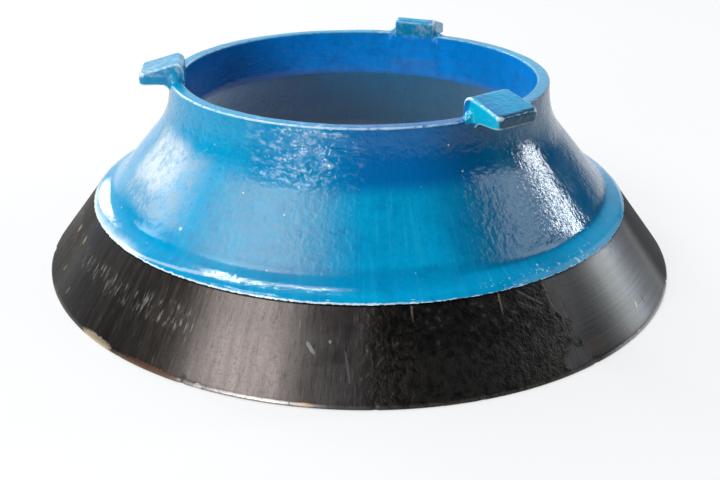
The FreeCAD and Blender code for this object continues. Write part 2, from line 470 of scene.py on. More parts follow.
# Size of a lug's faces, and how far its corners and its seam are softened.
LUG_FACE = 0.0019
SOFTEN_SHARE, SOFTEN_ROUNDS = 0.5, 5
# How many rows beside a lug's seam are blended, and how often.
SEAM_ROWS, SEAM_ROUNDS = 2, 5


def make_lug(index):
    """One lug with the lumpy beads round its foot, as a closed mesh of even small faces."""
    mesh = lug_block()
    add_beads(mesh, index)
    lug = solid_object("lug_%d" % (index + 1), mesh)
    remesh = lug.modifiers.new("even", "REMESH")
    remesh.mode = "VOXEL"
    remesh.voxel_size = LUG_FACE
    smooth = lug.modifiers.new("soften", "SMOOTH")
    smooth.factor = SOFTEN_SHARE
    smooth.iterations = SOFTEN_ROUNDS
    bake(lug)
    lug.data.transform(Matrix.Rotation(LUG_START + 2 * math.pi * index / LUG_COUNT, 4, "Z"))
    normals = [vertex.normal.copy() for vertex in lug.data.vertices]
    for vertex, normal in zip(lug.data.vertices, normals):
        vertex.co += normal * cast_lumps(vertex.co, LUG_LUMPS)
        vertex.co.z = min(vertex.co.z, lug_top(FLAT_RADIUS + LUG_CREST_ROUND) - HAIR)
    return lug


def soften_seams(data):
    """Blend the corner where the lugs meet the ring, like a cast fillet under paint."""
    mesh = bmesh.new()
    mesh.from_mesh(data)
    seam = set()
    for edge in mesh.edges:
        if len(edge.link_faces) == 2:
            first, second = edge.link_faces
            if first.material_index != second.material_index:
                seam.update(edge.verts)
    near = set(seam)
    front = seam
    for _ in range(SEAM_ROWS):
        front = {edge.other_vert(vertex) for vertex in front for edge in vertex.link_edges} - near
        near |= front
    for _ in range(SEAM_ROUNDS):
        bmesh.ops.smooth_vert(mesh, verts=list(near), factor=SOFTEN_SHARE,
                              use_axis_x=True, use_axis_y=True, use_axis_z=True)
    # Many-sided faces would fold onto each other when the mesh is cut into triangles.
    faces = [face for face in mesh.faces if len(face.verts) > 4 or not near.isdisjoint(face.verts)]
    bmesh.ops.triangulate(mesh, faces=faces)
    mesh.to_mesh(data)
    mesh.free()


def mark_edges(data):
    """Store on every vertex how far it stands out from its neighbours, as "edge", 0 to 1."""
    mesh = bmesh.new()
    mesh.from_mesh(data)
    mesh.normal_update()
    values = []
    for vertex in mesh.verts:
        offset = Vector()
        for edge in vertex.link_edges:
            step = edge.other_vert(vertex).co - vertex.co
            offset += step / max(step.length, 1e-6)
        values.append(max(0.0, -offset.dot(vertex.normal) / len(vertex.link_edges)))
    smoothed = []
    for vertex, value in zip(mesh.verts, values):
        near = [values[edge.other_vert(vertex).index] for edge in vertex.link_edges]
        smoothed.append(min(1.0, (value + sum(near) / len(near)) / 2 / FULL_EDGE))
    mesh.free()
    data.attributes.new("edge", "FLOAT", "POINT").data.foreach_set("value", smoothed)


def mark_faces(data, marks, index):
    """Give a mesh these materials, and all its faces the same one of them."""
    data.materials.clear()
    for mark in marks:
        data.materials.append(mark)
    data.polygons.foreach_set("material_index", [index] * len(data.polygons))


def make_casting():
    """The whole casting: the ring with its three lugs, as one closed mesh."""
    casting = solid_object("casting", make_ring())
    marks = [bpy.data.materials.new(name) for name in ("ring_mark", "lug_mark")]
    mark_faces(casting.data, marks, 0)
    for index in range(LUG_COUNT):
        lug = make_lug(index)
        mark_faces(lug.data, marks, 1)
        union = casting.modifiers.new("join", "BOOLEAN")
        union.operation = "UNION"
        union.solver = "MANIFOLD"
        union.object = lug
        bake(casting)
        bpy.data.objects.remove(lug)
    soften_seams(casting.data)
    mark_faces(casting.data, [], 0)
    for mark in marks:
        bpy.data.materials.remove(mark)
    mark_edges(casting.data)
    casting.data.polygons.foreach_set("use_smooth", [True] * len(casting.data.polygons))
    casting.data.set_sharp_from_angle(angle=SHARP_ANGLE)
    return casting


def direction(azimuth, elevation):
    """Unit vector: azimuth from +X towards +Y, elevation above the floor, in degrees."""
    a, e = math.radians(azimuth), math.radians(elevation)
    return Vector((math.cos(a) * math.cos(e), math.sin(a) * math.cos(e), math.sin(e)))


class Nodes:
    """A short way to build a node tree: node() returns a node, the other calls its output."""

    def __init__(self, tree):
        self.tree = tree
        tree.nodes.clear()

    def node(self, kind, inputs, **settings):
        """A node with its settings and inputs: values, colours as red, green, blue, or outputs."""
        made = self.tree.nodes.new(kind)
        for name, value in settings.items():
            setattr(made, name, value)
        for name, value in inputs.items():
            socket = made.inputs[name]
            if isinstance(value, bpy.types.NodeSocket):
                self.tree.links.new(value, socket)
            else:
                socket.default_value = (*value, 1) if socket.type == "RGBA" else value
        return made

    def math(self, operation, a, b=0):
        """A sum or other operation on numbers."""
        return self.node("ShaderNodeMath", {0: a, 1: b}, operation=operation).outputs[0]

    def chain(self, operation, values):
        """The values joined by an operation, from first to last."""
        result = values[0]
        for value in values[1:]:
            result = self.math(operation, result, value)
        return result

    def times(self, *values):
        """Masks or numbers multiplied."""
        return self.chain("MULTIPLY", values)

    def either(self, *masks):
        """The larger of the masks."""
        return self.chain("MAXIMUM", masks)

    def weigh(self, *parts):
        """The sum of values, each times its weight."""
        return self.chain("ADD", [self.times(value, weight) for value, weight in parts])

    def fade(self, value, low, high, start=0, end=1):
        """From start at low to end at high, smooth between them."""
        inputs = {"Value": value, "From Min": low, "From Max": high, "To Min": start, "To Max": end}
        return self.node("ShaderNodeMapRange", inputs, interpolation_type="SMOOTHSTEP").outputs[0]

    def blend(self, share, a, b):
        """A number between a and b."""
        return self.node("ShaderNodeMix", {0: share, 2: a, 3: b}, data_type="FLOAT").outputs[0]

    def tint(self, share, a, b):
        """A colour between a and b."""
        return self.node("ShaderNodeMix", {0: share, 6: a, 7: b}, data_type="RGBA").outputs[2]

    def coat(self, under, mask, strength, tone):
        """A colour with a tone laid over it where the mask is 1, at a strength."""
        return self.tint(self.times(mask, strength), under, tone)

    def vector(self, operation, a, b):
        """The node of an operation on places or directions."""
        return self.node("ShaderNodeVectorMath", {0: a, 1: b}, operation=operation)

    def shift(self, place, step):
        """The place moved by a step."""
        return self.vector("ADD", place, step).outputs[0]

    def stretch(self, place, scale):
        """The place with each axis multiplied."""
        return self.vector("MULTIPLY", place, scale).outputs[0]

    def dot(self, a, b):
        """How far one direction points along another."""
        return self.vector("DOT_PRODUCT", a, b).outputs["Value"]

    def grain(self, place, size, detail=3, rough=0.55):
        """Noise from 0 to 1 whose lumps are about this size."""
        inputs = {"Vector": place, "Scale": 1 / size, "Detail": detail, "Roughness": rough}
        return self.node("ShaderNodeTexNoise", inputs).outputs[0]

    def split(self, value):
        """X, Y and Z of a vector or colour."""
        return self.node("ShaderNodeSeparateXYZ", {0: value}).outputs[:]


# Patches of the skin: azimuth, half width and soft edge in degrees, then lowest and highest
# height and soft edge.
PATCHES = {
    "runs": (256, 4, 14, 0.276, 0.35, 0.03),
    # Painted highlight on the left of the flank, and its pale core.
    "haze": (213, 7, 14, 0.18, 0.262, 0.022),
    "haze_core": (210, 3, 10, 0.215, 0.268, 0.03),
    # Dust, with a painted sheen of the key lamp's highlight.
    "dust_and_sheen": (249, 5, 14, 0.165, 0.24, 0.04),
    # Painted shade on the right side.
    "right_shade": (330, 26, 20, 0.15, 0.35, 0.006),
    # Painted shade on the shelf above the lip.
    "shelf_shade": (270, 14, 12, 0.143, 0.156, 0.01),
    "flaked_lip": (308, 10, 8, 0.124, 0.133, 0.008),
    "dull_middle": (248, 16, 10, 0.15, 0.275, 0.02),
    "pebbled_middle": (250, 14, 8, 0.17, 0.275, 0.02),
    "pebbled_right": (310, 18, 8, 0.15, 0.29, 0.02),
    "right_streak": (326, 5, 5, 0.15, 0.3, 0.02),
}


class Skin(Nodes):
    """The node tree of the casting's skin, with the places that its textures need."""

    def __init__(self, tree):
        super().__init__(tree)
        self.place = self.node("ShaderNodeTexCoord", {}).outputs["Object"]
        x, y, self.z = self.split(self.place)
        self.radius = self.math("SQRT", self.weigh((x, x), (y, y)))
        inputs = {0: self.math("DIVIDE", x, self.radius), 1: self.math("DIVIDE", y, self.radius), 2: 0}
        self.around = self.node("ShaderNodeCombineXYZ", inputs).outputs[0]
        self.edge = self.node("ShaderNodeAttribute", {}, attribute_name="edge").outputs["Fac"]
        self.ragged = self.math("SUBTRACT", self.grain(self.place, 0.006, 3, 0.6), 0.5)

    def facing(self, azimuth):
        """Cosine of the angle between a place's azimuth and this one."""
        return self.dot(self.around, direction(azimuth, 0))

    def sector(self, azimuth, half_width, soft):
        """1 within half a width of an azimuth, fading to 0 over the soft angle, in degrees."""
        outer = math.cos(math.radians(min(180, half_width + soft)))
        return self.fade(self.facing(azimuth), outer, math.cos(math.radians(half_width)))

    def band(self, value, low, high, soft):
        """1 between low and high, fading to 0 over the soft distance outside."""
        rise = self.fade(value, low - soft, low)
        return self.times(rise, self.fade(value, high, high + soft, 1, 0))

    def patch(self, name):
        """1 inside one of the patches, fading to 0 round it."""
        azimuth, half_width, soft, low, high, blur = PATCHES[name]
        return self.times(self.sector(azimuth, half_width, soft), self.band(self.z, low, high, blur))

    def beyond(self, radius):
        """1 further from the axis than a radius."""
        return self.math("GREATER_THAN", self.radius, radius)

    def streaks(self, width, length, detail=3):
        """Noise drawn out up and down the casting: stripes of about this width and length."""
        spread = self.stretch(self.around, (0.5 / width, 0.5 / width, 0))
        inputs = {0: 0, 1: 0, 2: self.math("DIVIDE", self.z, length)}
        rise = self.node("ShaderNodeCombineXYZ", inputs).outputs[0]
        return self.grain(self.shift(spread, rise), 1, detail)

    def mark(self, azimuth, height, wide, high, lean):
        """1 inside a ragged oval on the seat.

        Its middle's azimuth and height, its width and length, and how far its length leans
        towards a higher azimuth, in degrees.
        """
        along = self.times(self.facing(azimuth + 90), self.radius)
        up = self.times(self.math("SUBTRACT", self.z, height), SEAT_SLANT)
        turn = math.radians(lean)
        long = self.weigh((along, math.sin(turn) * 2 / high), (up, math.cos(turn) * 2 / high))
        short = self.weigh((along, math.cos(turn) * 2 / wide), (up, -math.sin(turn) * 2 / wide))
        from_middle = self.math("SQRT", self.weigh((long, long), (short, short)))
        ragged = self.math("ADD", from_middle, self.ragged)
        return self.times(self.fade(ragged, 1.2, 0.8), self.sector(azimuth, 25, 5))

    def specks(self, size, spacing, rarity, seed):
        """Small scattered dots: 1 inside a dot. Higher rarity leaves fewer."""
        place = self.shift(self.place, (seed, seed * 1.7, seed * 0.6))
        cells = self.node("ShaderNodeTexVoronoi", {"Vector": place, "Scale": 1 / spacing}).outputs
        pick, scale, _ = self.split(cells["Color"])
        reach = self.times(self.fade(scale, 0, 1, 0.5, 1.6), size / spacing)
        inside = self.math("LESS_THAN", cells["Distance"], reach)
        return self.times(inside, self.math("GREATER_THAN", pick, rarity))


def bare_mask(n):
    """1 on the machined seat, with a ragged upper end where the paint stops."""
    slope = Vector((SEAT_TOP - EDGE_LAND, SEAT_RADIUS - SEAT_TOP_RADIUS)).normalized()
    off_seat = n.weigh((n.math("SUBTRACT", n.radius, SEAT_RADIUS), slope.x),
                       (n.math("SUBTRACT", n.z, EDGE_LAND), slope.y))
    ragged = n.times(n.math("SUBTRACT", n.grain(n.place, 0.006), 0.5), 0.003)
    below_lip = n.fade(n.math("ADD", n.z, ragged), SEAT_TOP + 0.0008, SEAT_TOP + 0.0002)
    return n.times(below_lip, n.fade(off_seat, -0.0055, -0.0045))


# The skin outside the bore: height plus this share of the radius is over the limit.
OUTER_SHARE, OUTER_LIMIT = 1.233, 0.707
# The bore's paint reaches this far out over the rim's round.
BORE_MARGIN = 0.003


def paint_masks(n):
    """The grains and places that the paint's colour, gloss and relief share."""
    m = SimpleNamespace()
    m.lumps = n.grain(n.stretch(n.place, (1, 1, 1.6)), 0.022, 2, 0.5)
    m.thin = n.grain(n.place, 0.03, 5, 0.65)
    m.flake = n.grain(n.place, 0.007, 3, 0.6)
    m.stripes = n.streaks(0.006, 0.09)
    m.pits = n.specks(0.0018, 0.03, 0.6, 9)
    over = n.math("ADD", n.z, n.times(n.radius, OUTER_SHARE))
    m.outer = n.times(n.math("GREATER_THAN", over, OUTER_LIMIT), n.beyond(BORE_RADIUS + BORE_MARGIN))
    dots = n.either(n.specks(0.0013, 0.024, 0.5, 1), n.specks(0.0024, 0.08, 0.5, 5))
    m.flecks = n.times(m.outer, dots)
    m.runs = n.patch("runs")
    m.haze = n.patch("haze")
    m.brushed = n.weigh((m.stripes, 0.2), (m.thin, 0.5), (m.flake, 0.3))
    # Where the paint carries the painted highlight haze on the left of the flank.
    m.scuff = n.times(m.haze, n.fade(m.brushed, 0.28, 0.68))
    return m


def mottled_paint(n, m):
    """The paint's blue before any wear: broad tones, thin spots, pits and brush stripes."""
    tone = n.grain(n.place, 0.16, 4, 0.6)
    colour = n.tint(n.fade(tone, 0.3, 0.7), (0, 0.25, 0.47), (0, 0.32, 0.57))
    colour = n.tint(n.fade(m.thin, 0.48, 0.75, 0, 0.55), colour, (0, 0.16, 0.36))
    colour = n.tint(n.fade(m.flake, 0.4, 0.68, 0, 0.32), colour, (0, 0.19, 0.4))
    colour = n.coat(colour, m.pits, 0.55, (0, 0.09, 0.2))
    return n.tint(n.fade(m.stripes, 0.48, 0.72, 0, 0.3), colour, (0.02, 0.38, 0.6))


def paint_with_painted_shade_and_light(n, m, colour):
    """The darker blue of the neck, the right side and one lug's end as painted shade, and the bore,
    lighter at the back and darker on the left as painted light and shade.
    """
    # Painted shade: darker blue on the neck's front right.
    neck = n.times(n.fade(n.z, 0.245, 0.275), n.sector(284, 12, 14))
    colour = n.coat(colour, neck, 0.8, (0, 0.1, 0.36))
    # Painted shade: the right side darker.
    colour = n.coat(colour, n.patch("right_shade"), 0.75, (0, 0.065, 0.155))
    # Painted shade: the front lug's end darker.
    lug_end_shade = n.times(n.sector(308, 12, 4), n.fade(n.radius, 0.408, 0.412), n.fade(n.z, 0.335, 0.34))
    colour = n.coat(colour, lug_end_shade, 0.9, (0, 0.055, 0.11))
    inside = n.times(n.math("LESS_THAN", n.radius, BORE_RADIUS + BORE_MARGIN),
                     n.fade(n.z, FLAT_TOP + 0.004, FLAT_TOP))
    # The bore's blue: lighter at the back as painted light, darker on the left as painted shade.
    bore = n.tint(n.sector(95, 30, 30), (0, 0.25, 0.75), (0, 0.33, 0.95))
    bore = n.tint(n.sector(185, 35, 40), bore, (0, 0.1, 0.32))
    bore = n.tint(n.fade(m.thin, 0.4, 0.7, 0, 0.45), bore, (0, 0.14, 0.5))
    return n.tint(inside, colour, bore)


def lip_wear_and_highlights(n, m, colour):
    """The lip's pale lining (painted highlight, with flakes on the right), its flakes, tan stain, and a
    painted highlight streak at its left end and along its crest.
    """
    highlight_pale = (0.72, 0.84, 0.88)
    # Pale lining along the lip's lower edge: painted highlight on the left and middle, flaked paint on
    # the right.
    by_edge = n.fade(n.math("ADD", n.z, n.times(m.flake, 0.004)), 0.131, 0.1295)
    flaking = n.times(n.sector(306, 10, 5), n.fade(m.flake, 0.6, 0.66))
    highlight_lining_and_flakes = n.times(by_edge, n.either(n.sector(232, 40, 12), flaking), n.beyond(0.515))
    colour = n.coat(colour, highlight_lining_and_flakes, 0.8, (0.7, 0.82, 0.86))
    # Painted highlight: the left end of the lip's streak.
    ragged_height = n.math("ADD", n.z, n.times(m.thin, 0.008))
    painted_left_streak = n.times(n.sector(205, 13, 9), n.fade(ragged_height, 0.143, 0.133), n.beyond(0.5))
    colour = n.coat(colour, painted_left_streak, 0.7, highlight_pale)
    flaked = n.times(n.patch("flaked_lip"), n.fade(m.flake, 0.58, 0.64))
    colour = n.coat(colour, flaked, 0.8, (0.4, 0.7, 0.78))
    tan = n.times(n.sector(206, 9, 4), n.fade(n.z, 0.129, 0.1275), n.fade(m.thin, 0.45, 0.55),
                  n.beyond(0.515))
    colour = n.tint(tan, colour, (0.42, 0.33, 0.24))
    # Painted highlight: a pale streak that climbs from the lip's outer edge on the left to its crest in
    # the middle.
    crest = n.fade(n.facing(230 + 90), -0.35, 0.5, 0.1275, 0.1402)
    off_crest = n.math("ABSOLUTE", n.math("SUBTRACT", n.z, crest))
    off_crest = n.math("ADD", off_crest, n.times(n.ragged, 0.002))
    painted_lip_streak = n.times(n.fade(off_crest, 0.002, 0.0008), n.sector(230, 33, 8), n.beyond(0.493))
    return n.coat(colour, painted_lip_streak, n.blend(n.sector(203, 18, 8), 0.35, 0.8), highlight_pale)


def pale_edges_and_glints(n, m, colour):
    """The pale edges, partly worn and partly painted highlight, the painted glints on two lugs' tops and
    the light flecks.
    """
    # Pale edges: partly worn paint, partly painted highlight, stronger on the lit left and on the rear
    # and front lugs.
    worn = n.times(n.fade(n.edge, 0.28, 0.55), n.fade(n.grain(n.place, 0.012, 3, 0.6), 0.25, 0.5))
    by_lugs = n.times(n.either(n.sector(68, 12, 4), n.sector(308, 12, 4)), n.fade(n.z, 0.35, 0.356))
    strength = n.blend(n.either(n.sector(225, 50, 45), by_lugs), 0.3, 0.85)
    colour = n.coat(colour, worn, strength, (0.62, 0.78, 0.84))
    # Painted glints and painted reflection: pale patches on the tops of the rear and left lugs.
    lug_tops = n.either(n.times(n.sector(68, 12, 3), n.fade(n.z, 0.352, 0.356)),
                      n.times(n.sector(188, 10, 3), n.fade(n.z, 0.362, 0.366)))
    scuffed = n.times(lug_tops, n.fade(n.weigh((m.thin, 0.6), (m.flake, 0.4)), 0.48, 0.6))
    colour = n.coat(colour, scuffed, 0.35, (0.66, 0.74, 0.77))
    return n.coat(colour, m.flecks, 0.75, (0.62, 0.66, 0.6))


def paint_colour(n, m):
    """Colour of the painted skin."""
    colour = paint_with_painted_shade_and_light(n, m, mottled_paint(n, m))
    # Painted highlight: a pale grey haze and a near white core on the left of the flank.
    colour = n.coat(colour, m.scuff, 0.6, (0.5, 0.54, 0.55))
    painted_highlight_core = n.times(n.patch("haze_core"), n.fade(m.brushed, 0.25, 0.6))
    colour = n.coat(colour, painted_highlight_core, 0.55, (0.85, 0.87, 0.87))
    colour = lip_wear_and_highlights(n, m, colour)
    # Dust and painted sheen: a greyer, duller blue in the middle of the flank.
    dust_and_sheen = n.times(n.patch("dust_and_sheen"), n.fade(m.flake, 0.25, 0.75, 0.12, 0.38))
    colour = n.tint(dust_and_sheen, colour, (0.26, 0.32, 0.33))
    colour = n.coat(colour, m.runs, 0.5, (0, 0.21, 0.48))
    # Painted glints: pale crests on the wrinkled paint at the neck's front.
    ripples = n.grain(n.stretch(n.place, (1, 1, 2.4)), 0.013, 2, 0.5)
    painted_glints = n.times(m.runs, m.outer, n.fade(ripples, 0.4, 0.62), n.fade(m.lumps, 0.5, 0.68))
    colour = n.coat(colour, painted_glints, 0.42, (0.7, 0.88, 0.95))
    # Painted shade: darker blue on the shelf above the lip in the middle.
    colour = n.coat(colour, n.patch("shelf_shade"), 0.4, (0, 0.15, 0.32))
    # Painted light: a lighter blue on the front lug's left side, which faces the key lamp.
    lit_lug_side = n.times(n.sector(300.5, 1.6, 0.6), n.fade(n.radius, 0.35, 0.356), n.fade(n.z, 0.347, 0.35))
    colour = n.tint(lit_lug_side, colour, (0, 0.41, 0.62))
    return pale_edges_and_glints(n, m, colour)


def paint_roughness(n, m):
    """Roughness of the paint: dull in the middle and in the painted haze, glossy where it ran."""
    rough = n.fade(n.grain(n.place, 0.07, 4, 0.6), 0.35, 0.7, 0.1, 0.2)
    rough = n.blend(n.patch("dull_middle"), rough, 0.36)
    rough = n.blend(m.scuff, rough, 0.4)
    shelf = n.times(n.fade(n.z, 0.158, 0.146), n.sector(230, 50, 15))
    by_foot = n.times(n.fade(n.z, 0.137, 0.131), n.sector(318, 16, 6))
    rough = n.blend(by_foot, rough, 0.5)
    return n.blend(n.either(m.runs, shelf), rough, 0.09)


def paint_relief(n, m):
    """Relief of the paint in millimetres: orange peel, lumps, stripes, pits and flecks."""
    peel = n.grain(n.place, 0.01)
    smooth = n.fade(n.z, 0.165, 0.146)
    pebbled = n.either(n.patch("pebbled_middle"), n.patch("pebbled_right"))
    flat = n.either(smooth, n.times(n.patch("right_streak"), 0.6))
    peel_depth = n.blend(pebbled, n.blend(n.fade(n.z, 0.25, 0.28), 0.9, 1.7), 1.2)
    peel_depth = n.blend(m.runs, n.blend(flat, peel_depth, 0.2), 1.7)
    lump_depth = n.blend(smooth, n.blend(pebbled, 0.7, 0.6), 0.2)
    lump_depth = n.blend(m.runs, lump_depth, 4.6)
    return n.weigh((peel, peel_depth), (m.lumps, lump_depth), (m.stripes, n.blend(m.haze, 0.25, 0.35)),
                   (m.pits, -0.4), (m.flecks, 0.4))


# Marks on the seat: azimuth, height, width, length, lean, colour, strength.
SEAT_MARKS = [
    (208, 0.108, 0.07, 0.03, 0, (0.01, 0.014, 0.026), 0.7),
    (197.1, 0.084, 0.009, 0.016, -20, (0.34, 0.26, 0.17), 0.9),
    (204.3, 0.089, 0.007, 0.016, -20, (0.34, 0.26, 0.17), 0.9),
    (203.6, 0.036, 0.006, 0.014, 10, (0.24, 0.18, 0.11), 0.8),
    (210.3, 0.025, 0.006, 0.014, 10, (0.24, 0.18, 0.11), 0.8),
    (225, 0.005, 0.085, 0.016, 0, (0.55, 0.44, 0.28), 0.95),
    (237, 0.005, 0.14, 0.012, 0, (0.17, 0.085, 0.045), 0.8),
    (246.8, 0.004, 0.014, 0.01, 0, (0.55, 0.52, 0.46), 0.9),
    (263, 0.005, 0.022, 0.008, 0, (0.34, 0.17, 0.06), 0.8),
    (263.1, 0.0725, 0.006, 0.024, -37, (0.26, 0.27, 0.28), 0.45),
    (266.1, 0.081, 0.005, 0.005, 0, (0.3, 0.31, 0.32), 0.55),
    (268.9, 0.052, 0.004, 0.054, -10, (0.13, 0.13, 0.13), 0.6),
    (279.3, 0.118, 0.0035, 0.034, 0, (0.2, 0.16, 0.12), 0.8),
    (295, 0.1145, 0.0035, 0.04, 3, (0.26, 0.2, 0.14), 0.8),
    (301, 0.1085, 0.004, 0.058, -51, (0.09, 0.09, 0.085), 0.6),
    (300, 0.1, 0.004, 0.04, -56, (0.08, 0.08, 0.075), 0.6),
    (310.5, 0.024, 0.05, 0.03, 0, (0.1, 0.05, 0.03), 0.22),
    (327.4, 0.032, 0.004, 0.014, 0, (0.015, 0.013, 0.01), 0.9),
    (324.6, 0.035, 0.004, 0.01, 20, (0.25, 0.2, 0.14), 0.8),
]


def steel_masks(n):
    """The grains and places that the seat's colour, gloss and relief share."""
    m = SimpleNamespace()
    m.stain = n.grain(n.place, 0.09, 6, 0.65)
    m.fine = n.grain(n.place, 0.006, 4, 0.7)
    m.crust = n.grain(n.place, 0.012, 4, 0.65)
    m.stripes = n.streaks(0.012, 0.12, 6)
    m.scratches = n.streaks(0.003, 0.022, 4)
    m.turning = n.grain(n.stretch(n.place, (3, 3, 380)), 1, 4, 0.65)
    # Painted sheen: a lighter band of the seat, brighter low down, where the key lamp's highlight falls.
    m.sheen = n.times(n.sector(251.5, 0, 12), n.fade(m.stripes, 0.3, 0.7, 0.6, 1),
                      n.fade(n.z, 0.12, 0.015, 0.45, 1), n.fade(m.scratches, 0.3, 0.6, 0.75, 1),
                      n.fade(m.fine, 0.35, 0.55, 0.6, 1))
    left_wander = n.times(n.math("SUBTRACT", m.stain, 0.5), 0.1)
    right_wander = n.weigh((n.math("SUBTRACT", m.stain, 0.55), n.fade(n.z, 0.095, 0.06, 0, 0.45)),
                           (n.ragged, 0.03))
    m.oxide = n.times(n.fade(n.math("ADD", n.facing(272 + 90), left_wander), -0.05, 0.05),
                      n.fade(n.math("ADD", n.facing(304.5 + 90), right_wander), 0.006, -0.006),
                      n.sector(288, 30, 10))
    m.brushed = n.sector(328, 17, 5)
    return m


def bare_steel(n, m):
    """The seat's grey before the marks: stains, the painted sheen, and the brown left part."""
    colour = n.tint(n.fade(m.stain, 0.3, 0.7), (0.036, 0.032, 0.03), (0.07, 0.064, 0.061))
    colour = n.tint(m.sheen, colour, (0.2, 0.172, 0.165))
    ticks = n.times(n.band(n.z, 0.07, 0.085, 0.014), n.fade(n.streaks(0.005, 0.02), 0.52, 0.68),
                    n.fade(m.stain, 0.38, 0.5))
    dark = n.tint(n.fade(m.stripes, 0.35, 0.65), (0.015, 0.013, 0.011), (0.038, 0.033, 0.028))
    return n.tint(n.sector(208, 28, 12), colour, n.tint(ticks, dark, (0.22, 0.2, 0.18)))


def oxide_and_scratches(n, m, colour):
    """The rough black oxide, greyer low down, then the dark and the worn scratches."""
    scale = n.tint(n.fade(m.crust, 0.35, 0.6), (0.006, 0.0055, 0.0045), (0.02, 0.018, 0.015))
    scale = n.tint(n.fade(m.crust, 0.58, 0.7), scale, (0.075, 0.07, 0.06))
    colour = n.tint(m.oxide, colour, scale)
    low_down = n.times(m.oxide, n.fade(n.z, 0.078, 0.055), n.fade(m.crust, 0.3, 0.6))
    colour = n.tint(low_down, colour, (0.034, 0.031, 0.026))
    dark_lines = n.times(n.fade(m.scratches, 0.48, 0.7), n.blend(m.sheen, 0.5, 0.12))
    colour = n.tint(dark_lines, colour, (0.012, 0.011, 0.01))
    worn = n.times(n.fade(m.scratches, 0.42, 0.26, 0, 0.4), n.math("SUBTRACT", 1, m.oxide))
    return n.tint(worn, colour, (0.15, 0.14, 0.135))


def turned_steel(n, m, colour):
    """The finely turned part on the right, with its streak as a painted highlight, and the far end
    darkened as painted shade.
    """
    lines = n.tint(n.fade(m.turning, 0.3, 0.7), (0.028, 0.027, 0.025), (0.044, 0.044, 0.042))
    # Painted highlight: a brighter bluish streak in the turned part.
    painted_streak = n.tint(n.fade(m.turning, 0.3, 0.7), (0.048, 0.051, 0.054), (0.092, 0.098, 0.104))
    colour = n.tint(m.brushed, colour, n.tint(n.sector(333, 3, 9), lines, painted_streak))
    # Painted shade: the seat's far right end darkened.
    colour = n.coat(colour, n.sector(350, 12, 8), 0.7, (0.018, 0.018, 0.016))
    return n.tint(n.fade(m.fine, 0.52, 0.75, 0, 0.4), colour, (0.014, 0.012, 0.011))


def steel_colour(n, m):
    """Colour of the machined seat."""
    colour = turned_steel(n, m, oxide_and_scratches(n, m, bare_steel(n, m)))
    for azimuth, height, wide, high, lean, tone, strength in SEAT_MARKS:
        colour = n.coat(colour, n.mark(azimuth, height, wide, high, lean), strength, tone)
    # Painted shadow: a dark line on the seat just under the lip's edge.
    painted_shadow_under_lip = n.fade(n.z, SEAT_TOP - 0.003, SEAT_TOP - 0.002)
    colour = n.tint(painted_shadow_under_lip, colour, (0.006, 0.006, 0.007))
    # Pale lower edge: partly a worn burr, partly painted highlight, stronger where the sheen and the
    # streak fall.
    highlit_places = n.either(n.sector(254, 8, 5), n.sector(327, 9, 8))
    burr_and_highlight = n.times(n.fade(n.edge, 0.3, 0.6), n.fade(n.z, 0.01, 0.007), n.fade(m.fine, 0.3, 0.5),
                   n.blend(highlit_places, 0.08, 0.6))
    return n.tint(burr_and_highlight, colour, (0.5, 0.47, 0.44))


def steel_roughness(n, m):
    """Roughness of the machined seat."""
    rough = n.blend(m.oxide, n.fade(m.stain, 0.3, 0.7, 0.34, 0.44), 0.42)
    rough = n.blend(m.brushed, rough, 0.3)
    return n.blend(n.either(n.sector(352, 9, 6), n.sector(185, 14, 8)), rough, 0.75)


def steel_relief(n, m):
    """Relief of the machined seat in millimetres: grain, turning lines, stripes and crust."""
    return n.weigh((m.fine, 0.12), (m.turning, n.blend(m.brushed, 0.02, 0.05)), (m.stripes, 0.1),
                   (m.crust, n.blend(m.oxide, 0.08, 3)))


def casting_material():
    """Glossy blue paint on a cast skin, and the dark machined seat."""
    material = bpy.data.materials.new("painted_casting_skin")
    material.use_nodes = True
    n = Skin(material.node_tree)
    bare = bare_mask(n)
    paint, steel = paint_masks(n), steel_masks(n)
    height = n.blend(bare, paint_relief(n, paint), steel_relief(n, steel))
    bump = n.node("ShaderNodeBump", {"Height": height, "Distance": 0.001, "Strength": 1})
    shader = n.node("ShaderNodeBsdfPrincipled", {
        "Base Color": n.tint(bare, paint_colour(n, paint), steel_colour(n, steel)),
        "Roughness": n.blend(bare, paint_roughness(n, paint), steel_roughness(n, steel)),
        "Metallic": n.times(bare, n.blend(steel.oxide, 0.85, 0.9)),
        "Specular IOR Level": 0.35,
        "Normal": bump.outputs[0],
    })
    n.node("ShaderNodeOutputMaterial", {"Surface": shader.outputs[0]})
    return material


# The floor's glow near the casting, and what it becomes between two distances, for the
# camera and in reflections.
GLOW_NEAR, GLOW_FAR = 7, 14
GLOW, FAR_GLOW, FAR_MIRRORED_GLOW = 0.62, 0.93, 0.48


